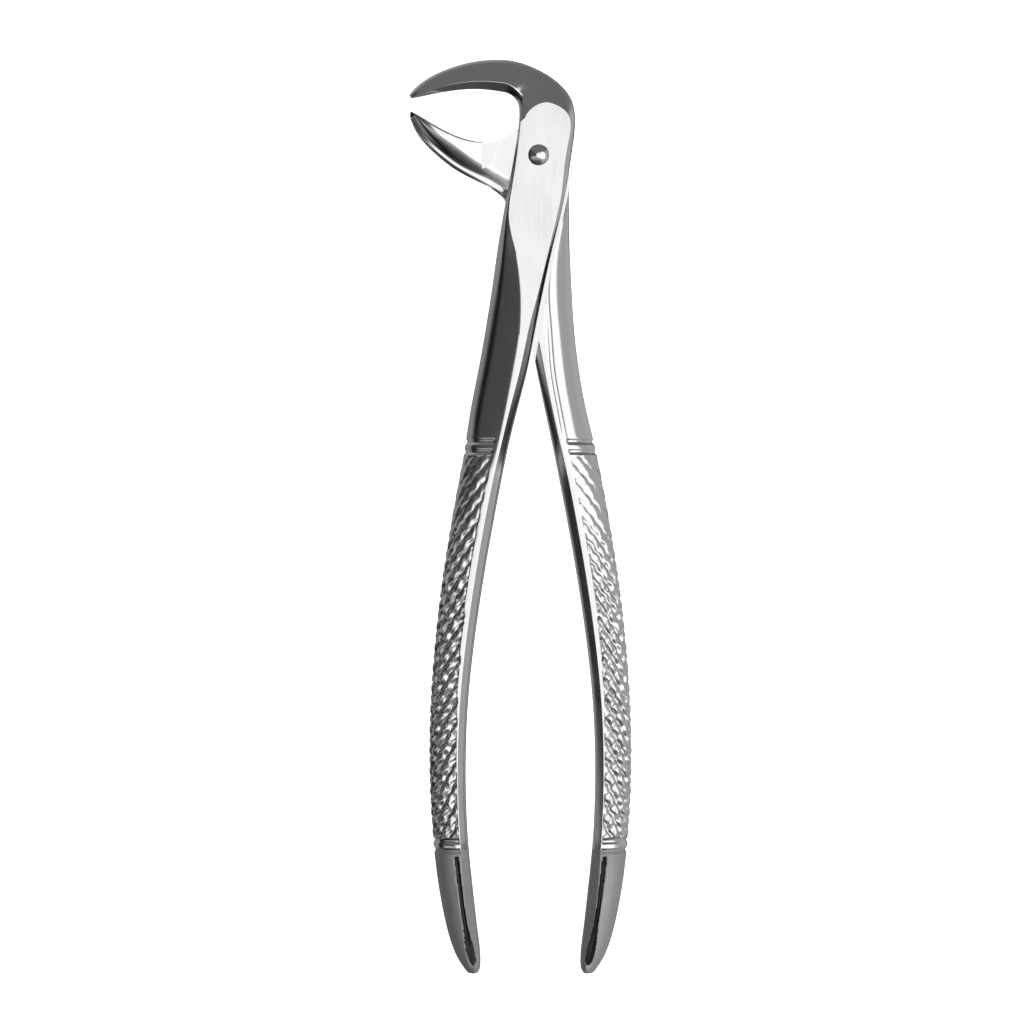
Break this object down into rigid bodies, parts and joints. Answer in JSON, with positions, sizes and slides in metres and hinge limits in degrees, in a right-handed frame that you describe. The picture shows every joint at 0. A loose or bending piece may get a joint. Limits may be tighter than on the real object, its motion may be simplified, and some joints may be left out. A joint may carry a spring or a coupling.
{
  "type": "extraction forceps",
  "caption": "Lower molar extraction forceps: two crossed steel levers on a riveted lap joint, with beaks at right angles to knurled handles.",
  "frame": {"origin": "on the pivot axis, in the plane that the instrument lies on", "axes": "+Z along the pivot axis, out of the rivet's domed head; +Y from the handles towards the beaks; the beaks point along -X"},
  "size_m": [0.0416, 0.1702, 0.0109],
  "materials": {
    "lever_steel": "polished stainless steel with satin ground joint plates",
    "rivet_steel": "bright polished stainless steel"
  },
  "bodies": {
    "rear_lever": {"rear_half": "lever_steel", "pivot_rivet": "rivet_steel"},
    "front_lever": {"front_half": "lever_steel"}
  },
  "joints": [
    {"name": "pivot", "type": "hinge", "parent": "rear_lever", "child": "front_lever", "pos_m": [0, 0, 0.005], "axis": [0, 0, 1], "range_deg": [-20, 1]}
  ]
}
